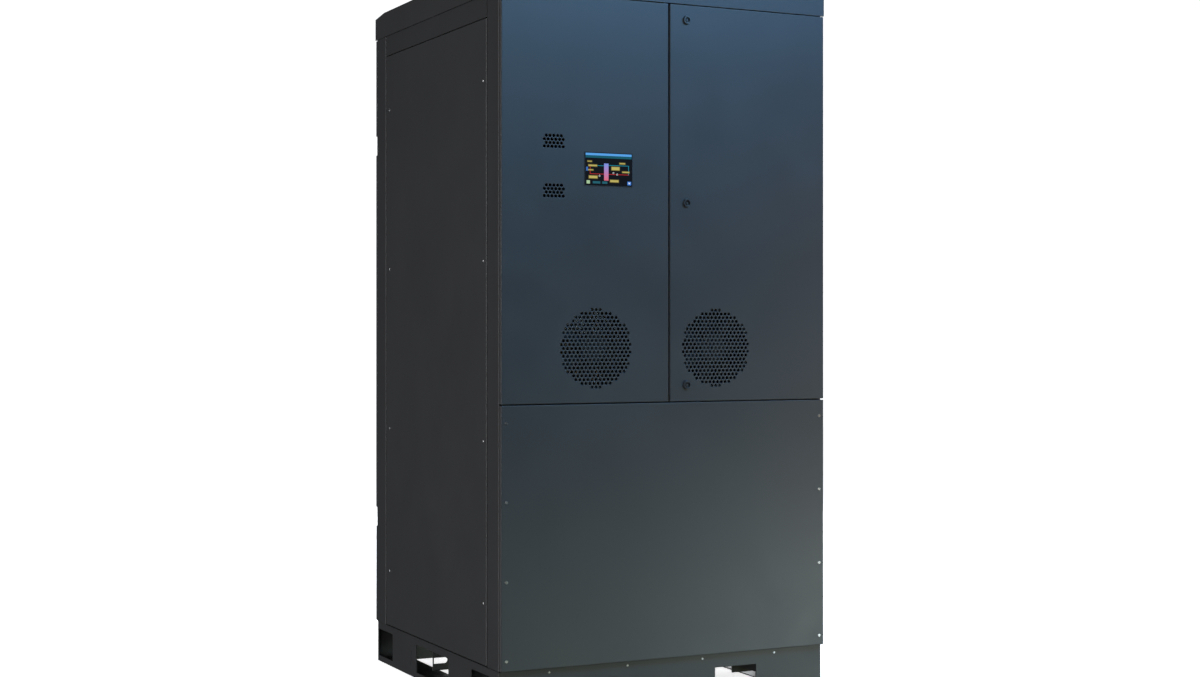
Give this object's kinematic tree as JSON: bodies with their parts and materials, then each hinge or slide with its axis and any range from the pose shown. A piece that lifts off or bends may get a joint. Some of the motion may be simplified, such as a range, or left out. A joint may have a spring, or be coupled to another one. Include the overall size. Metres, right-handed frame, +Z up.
{
  "type": "coolant distribution unit",
  "caption": "Free-standing coolant distribution unit: a steel cabinet on a fork-pocket plinth, with pumps, plate heat exchanger, pipework, controls, hinged doors, locks and fans.",
  "frame": {"origin": "centre of the footprint, on the floor under the plinth", "axes": "+Z up; the front doors face -Y; +X to the right seen from the front"},
  "size_m": [1, 0.999, 1.981],
  "materials": {
    "cabinet_paint": "satin powder coat, dark grey",
    "frame_paint": "satin powder coat, dark grey",
    "plinth_paint": "satin powder coat, dark grey",
    "hinge_black": "black coated steel",
    "lock_zinc": "die-cast, dark satin",
    "screw_steel": "dark plated steel",
    "zinc_steel": "zinc-plated sheet steel",
    "floor_steel": "plain stainless sheet",
    "seal_rubber": "foamed black rubber",
    "screen_case": "fine-textured black plastic",
    "screen_glass": "glossy lit display",
    "fan_plastic": "glass-filled black plastic",
    "plate_stainless": "pressed stainless plates",
    "exchanger_paint": "blue enamel on steel",
    "pump_paint": "blue enamel on cast iron",
    "motor_paint": "dark grey enamel",
    "shaft_steel": "ground stainless steel",
    "pipe_steel": "stainless pipe, satin",
    "valve_paint": "blue epoxy on ductile iron",
    "lever_coating": "red coated lever",
    "actuator_plastic": "moulded plastic over brass-coloured body",
    "tank_paint": "red enamel",
    "plate_zinc": "galvanised sheet steel",
    "drive_plastic": "moulded plastic",
    "module_plastic": "light grey plastic",
    "switch_red": "red moulded plastic"
  },
  "bodies": {
    "cabinet": {"base_end_rails": "plinth_paint", "base_side_rails": "plinth_paint", "base_fork_beams": "plinth_paint", "base_cross_plates": "plinth_paint", "floor_pan": "floor_steel", "corner_posts": "frame_paint", "frame_rails": "frame_paint", "centre_mullion": "frame_paint", "roof_cap": "cabinet_paint", "roof_gland_plate": "zinc_steel", "side_panel_left": "cabinet_paint", "side_panel_right": "cabinet_paint", "side_panel_screws": "screw_steel", "lower_front_panel": "cabinet_paint", "front_screws": "screw_steel", "frame_gaskets": "seal_rubber", "hinge_frame_arms": "hinge_black", "lock_keepers": "zinc_steel", "heat_exchanger_plates": "plate_stainless", "heat_exchanger_frame": "exchanger_paint", "pump_casings": "pump_paint", "pump_motors": "motor_paint", "facility_pipes": "pipe_steel", "process_pipes": "pipe_steel", "valve_bodies": "valve_paint", "control_valve": "actuator_plastic", "expansion_tank": "tank_paint", "electrical_plate": "plate_zinc", "pump_drives": "drive_plastic", "control_modules": "module_plastic"},
    "left_door": {"left_door_skin": "cabinet_paint", "left_door_stiffeners": "cabinet_paint", "left_hinge_leaves": "hinge_black", "flush_bolt_brackets": "zinc_steel", "hmi_panel": "screen_case", "hmi_screen": "screen_glass", "left_fan_housing": "fan_plastic"},
    "right_door": {"right_door_skin": "cabinet_paint", "right_door_stiffeners": "cabinet_paint", "right_hinge_leaves": "hinge_black", "lock_housings": "lock_zinc", "right_fan_housing": "fan_plastic"},
    "rear_door": {"rear_door_skin": "cabinet_paint", "rear_door_stiffeners": "cabinet_paint", "rear_hinge_leaves": "hinge_black", "rear_lock_housings": "lock_zinc"},
    "lock_upper": {"lock_upper": "lock_zinc"},
    "lock_middle": {"lock_middle": "lock_zinc"},
    "lock_lower": {"lock_lower": "lock_zinc"},
    "rear_lock_upper": {"rear_lock_upper": "lock_zinc"},
    "rear_lock_lower": {"rear_lock_lower": "lock_zinc"},
    "flush_bolt_upper": {"flush_bolt_upper": "zinc_steel"},
    "flush_bolt_lower": {"flush_bolt_lower": "zinc_steel"},
    "left_fan_rotor": {"left_fan_rotor": "fan_plastic"},
    "right_fan_rotor": {"right_fan_rotor": "fan_plastic"},
    "pump_rotor_left": {"pump_rotor_left": "shaft_steel"},
    "pump_rotor_right": {"pump_rotor_right": "shaft_steel"},
    "valve_lever_supply": {"valve_lever_supply": "lever_coating"},
    "valve_lever_return": {"valve_lever_return": "lever_coating"},
    "main_switch_handle": {"main_switch_handle": "switch_red"}
  },
  "joints": [
    {"name": "left_door_hinge", "type": "hinge", "parent": "cabinet", "child": "left_door", "pos_m": [-0.4915, -0.4875, 1.363], "axis": [0, 0, -1], "range_deg": [0, 105]},
    {"name": "right_door_hinge", "type": "hinge", "parent": "cabinet", "child": "right_door", "pos_m": [0.4915, -0.4875, 1.363], "axis": [0, 0, 1], "range_deg": [0, 105]},
    {"name": "rear_door_hinge", "type": "hinge", "parent": "cabinet", "child": "rear_door", "pos_m": [-0.4915, 0.486, 1], "axis": [0, 0, 1], "range_deg": [0, 105]},
    {"name": "lock_upper_turn", "type": "hinge", "parent": "right_door", "child": "lock_upper", "pos_m": [0.054, -0.4935, 1.864], "axis": [0, 1, 0], "range_deg": [0, 90]},
    {"name": "lock_middle_turn", "type": "hinge", "parent": "right_door", "child": "lock_middle", "pos_m": [0.054, -0.4935, 1.363], "axis": [0, 1, 0], "range_deg": [0, 90]},
    {"name": "lock_lower_turn", "type": "hinge", "parent": "right_door", "child": "lock_lower", "pos_m": [0.054, -0.4935, 0.865], "axis": [0, 1, 0], "range_deg": [0, 90]},
    {"name": "rear_lock_upper_turn", "type": "hinge", "parent": "rear_door", "child": "rear_lock_upper", "pos_m": [0.426, 0.4935, 1.44], "axis": [0, -1, 0], "range_deg": [0, 90]},
    {"name": "rear_lock_lower_turn", "type": "hinge", "parent": "rear_door", "child": "rear_lock_lower", "pos_m": [0.426, 0.4935, 0.56], "axis": [0, -1, 0], "range_deg": [0, 90]},
    {"name": "flush_bolt_upper_slide", "type": "slide", "parent": "left_door", "child": "flush_bolt_upper", "axis": [0, 0, 1], "range_m": [0, 0.016]},
    {"name": "flush_bolt_lower_slide", "type": "slide", "parent": "left_door", "child": "flush_bolt_lower", "axis": [0, 0, -1], "range_m": [0, 0.016]},
    {"name": "left_fan_spin", "type": "hinge", "parent": "left_door", "child": "left_fan_rotor", "pos_m": [-0.222, -0.4675, 0.966], "axis": [0, 1, 0], "continuous": true},
    {"name": "right_fan_spin", "type": "hinge", "parent": "right_door", "child": "right_fan_rotor", "pos_m": [0.145, -0.4675, 0.966], "axis": [0, 1, 0], "continuous": true},
    {"name": "pump_left_spin", "type": "hinge", "parent": "cabinet", "child": "pump_rotor_left", "pos_m": [0.01, -0.2535, 0.4], "axis": [0, 0, 1], "continuous": true},
    {"name": "pump_right_spin", "type": "hinge", "parent": "cabinet", "child": "pump_rotor_right", "pos_m": [0.22, -0.2535, 0.4], "axis": [0, 0, 1], "continuous": true},
    {"name": "valve_supply_turn", "type": "hinge", "parent": "cabinet", "child": "valve_lever_supply", "pos_m": [0.023, -0.0535, 1.5], "axis": [-1, 0, 0], "range_deg": [0, 90]},
    {"name": "valve_return_turn", "type": "hinge", "parent": "cabinet", "child": "valve_lever_return", "pos_m": [-0.383, -0.0535, 1.5], "axis": [-1, 0, 0], "range_deg": [0, 90]},
    {"name": "main_switch_turn", "type": "hinge", "parent": "cabinet", "child": "main_switch_handle", "pos_m": [0.11, -0.2675, 1.22], "axis": [0, 1, 0], "range_deg": [0, 90]}
  ]
}
